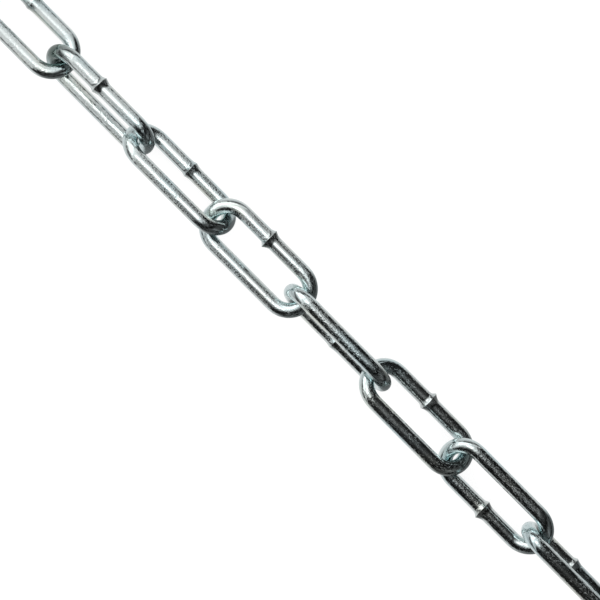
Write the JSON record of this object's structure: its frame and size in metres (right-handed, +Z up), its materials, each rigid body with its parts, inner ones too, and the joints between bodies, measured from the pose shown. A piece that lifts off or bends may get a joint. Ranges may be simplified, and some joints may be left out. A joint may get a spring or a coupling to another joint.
{
  "type": "steel chain",
  "caption": "Straight, twisted length of welded long-link steel chain, zinc plated, with every link free to swing on the next.",
  "frame": {"origin": "on the floor under the middle of the chain's length", "axes": "+X along the chain from its first link to its last, +Z up, +Y across it"},
  "size_m": [1.0054, 0.0237, 0.0232],
  "materials": {
    "zinc_plated_steel": "bright zinc plate over drawn steel wire, glossy with fine streaks"
  },
  "bodies": {
    "link_01": {"link_01": "zinc_plated_steel"},
    "link_02": {"link_02": "zinc_plated_steel"},
    "link_03": {"link_03": "zinc_plated_steel"},
    "link_04": {"link_04": "zinc_plated_steel"},
    "link_05": {"link_05": "zinc_plated_steel"},
    "link_06": {"link_06": "zinc_plated_steel"},
    "link_07": {"link_07": "zinc_plated_steel"},
    "link_08": {"link_08": "zinc_plated_steel"},
    "link_09": {"link_09": "zinc_plated_steel"},
    "link_10": {"link_10": "zinc_plated_steel"},
    "link_11": {"link_11": "zinc_plated_steel"},
    "link_12": {"link_12": "zinc_plated_steel"},
    "link_13": {"link_13": "zinc_plated_steel"},
    "link_14": {"link_14": "zinc_plated_steel"},
    "link_15": {"link_15": "zinc_plated_steel"},
    "link_16": {"link_16": "zinc_plated_steel"},
    "link_17": {"link_17": "zinc_plated_steel"},
    "link_18": {"link_18": "zinc_plated_steel"},
    "link_19": {"link_19": "zinc_plated_steel"},
    "link_20": {"link_20": "zinc_plated_steel"},
    "link_21": {"link_21": "zinc_plated_steel"},
    "link_22": {"link_22": "zinc_plated_steel"},
    "link_23": {"link_23": "zinc_plated_steel"},
    "link_24": {"link_24": "zinc_plated_steel"}
  },
  "joints": [
    {"name": "swing_01", "type": "hinge", "parent": "link_01", "child": "link_02", "pos_m": [-0.45198, 0, 0.00918], "axis": [0, 0.7071, 0.7071], "range_deg": [-90, 90]},
    {"name": "swing_02", "type": "hinge", "parent": "link_02", "child": "link_03", "pos_m": [-0.41043, 0, 0.00918], "axis": [0, -0.7071, 0.7071], "range_deg": [-90, 90]},
    {"name": "swing_03", "type": "hinge", "parent": "link_03", "child": "link_04", "pos_m": [-0.36888, 0, 0.00918], "axis": [0, -0.7071, -0.7071], "range_deg": [-90, 90]},
    {"name": "swing_04", "type": "hinge", "parent": "link_04", "child": "link_05", "pos_m": [-0.32733, 0, 0.00918], "axis": [0, 0.7071, -0.7071], "range_deg": [-90, 90]},
    {"name": "swing_05", "type": "hinge", "parent": "link_05", "child": "link_06", "pos_m": [-0.28579, 0, 0.0097], "axis": [-0.0095, 0.7431, 0.6691], "range_deg": [-90, 90]},
    {"name": "swing_06", "type": "hinge", "parent": "link_06", "child": "link_07", "pos_m": [-0.24424, 0, 0.00978], "axis": [0, -0.4695, 0.8829], "range_deg": [-90, 90]},
    {"name": "swing_07", "type": "hinge", "parent": "link_07", "child": "link_08", "pos_m": [-0.20282, 0, 0.01127], "axis": [0.0115, -0.9593, -0.2821], "range_deg": [-90, 90]},
    {"name": "swing_08", "type": "hinge", "parent": "link_08", "child": "link_09", "pos_m": [-0.16126, 0, 0.01147], "axis": [0, -0.0906, -0.9959], "range_deg": [-90, 90]},
    {"name": "swing_09", "type": "hinge", "parent": "link_09", "child": "link_10", "pos_m": [-0.12093, -0.0002, 0.01005], "axis": [0.004, 0.9259, -0.3778], "range_deg": [-90, 90]},
    {"name": "swing_10", "type": "hinge", "parent": "link_10", "child": "link_11", "pos_m": [-0.07937, -0.00017, 0.01059], "axis": [-0.0161, -0.6427, -0.766], "range_deg": [-90, 90]},
    {"name": "swing_11", "type": "hinge", "parent": "link_11", "child": "link_12", "pos_m": [-0.03818, 0.00001, 0.00979], "axis": [0.0031, -0.4226, 0.9063], "range_deg": [-90, 90]},
    {"name": "swing_12", "type": "hinge", "parent": "link_12", "child": "link_13", "pos_m": [0.00296, -0.00024, 0.01233], "axis": [0.0096, 0.9999, 0.0105], "range_deg": [-90, 90]},
    {"name": "swing_13", "type": "hinge", "parent": "link_13", "child": "link_14", "pos_m": [0.04422, -0.00001, 0.01156], "axis": [0.0024, 0.3778, 0.9259], "range_deg": [-90, 90]},
    {"name": "swing_14", "type": "hinge", "parent": "link_14", "child": "link_15", "pos_m": [0.08545, -0.00006, 0.00847], "axis": [0.0564, -0.7023, 0.7096], "range_deg": [-90, 90]},
    {"name": "swing_15", "type": "hinge", "parent": "link_15", "child": "link_16", "pos_m": [0.12657, -0.00001, 0.01235], "axis": [0.0284, -0.9361, -0.3507], "range_deg": [-90, 90]},
    {"name": "swing_16", "type": "hinge", "parent": "link_16", "child": "link_17", "pos_m": [0.16784, -0.00006, 0.01186], "axis": [0.0119, -0.0593, -0.9982], "range_deg": [-90, 90]},
    {"name": "swing_17", "type": "hinge", "parent": "link_17", "child": "link_18", "pos_m": [0.20908, 0, 0.011], "axis": [-0.0132, 0.9018, -0.4319], "range_deg": [-90, 90]},
    {"name": "swing_18", "type": "hinge", "parent": "link_18", "child": "link_19", "pos_m": [0.2505, 0, 0.0103], "axis": [0, -0.6101, -0.7923], "range_deg": [-90, 90]},
    {"name": "swing_19", "type": "hinge", "parent": "link_19", "child": "link_20", "pos_m": [0.29204, 0, 0.01006], "axis": [0.0166, -0.7314, 0.6818], "range_deg": [-90, 90]},
    {"name": "swing_20", "type": "hinge", "parent": "link_20", "child": "link_21", "pos_m": [0.33358, 0, 0.00931], "axis": [0, 0.7071, 0.7071], "range_deg": [-90, 90]},
    {"name": "swing_21", "type": "hinge", "parent": "link_21", "child": "link_22", "pos_m": [0.37513, 0, 0.01032], "axis": [0, 0.7071, -0.7071], "range_deg": [-90, 90]},
    {"name": "swing_22", "type": "hinge", "parent": "link_22", "child": "link_23", "pos_m": [0.41668, 0, 0.00931], "axis": [0, -0.7071, -0.7071], "range_deg": [-90, 90]},
    {"name": "swing_23", "type": "hinge", "parent": "link_23", "child": "link_24", "pos_m": [0.45823, 0, 0.01032], "axis": [0, -0.7071, 0.7071], "range_deg": [-90, 90]}
  ]
}
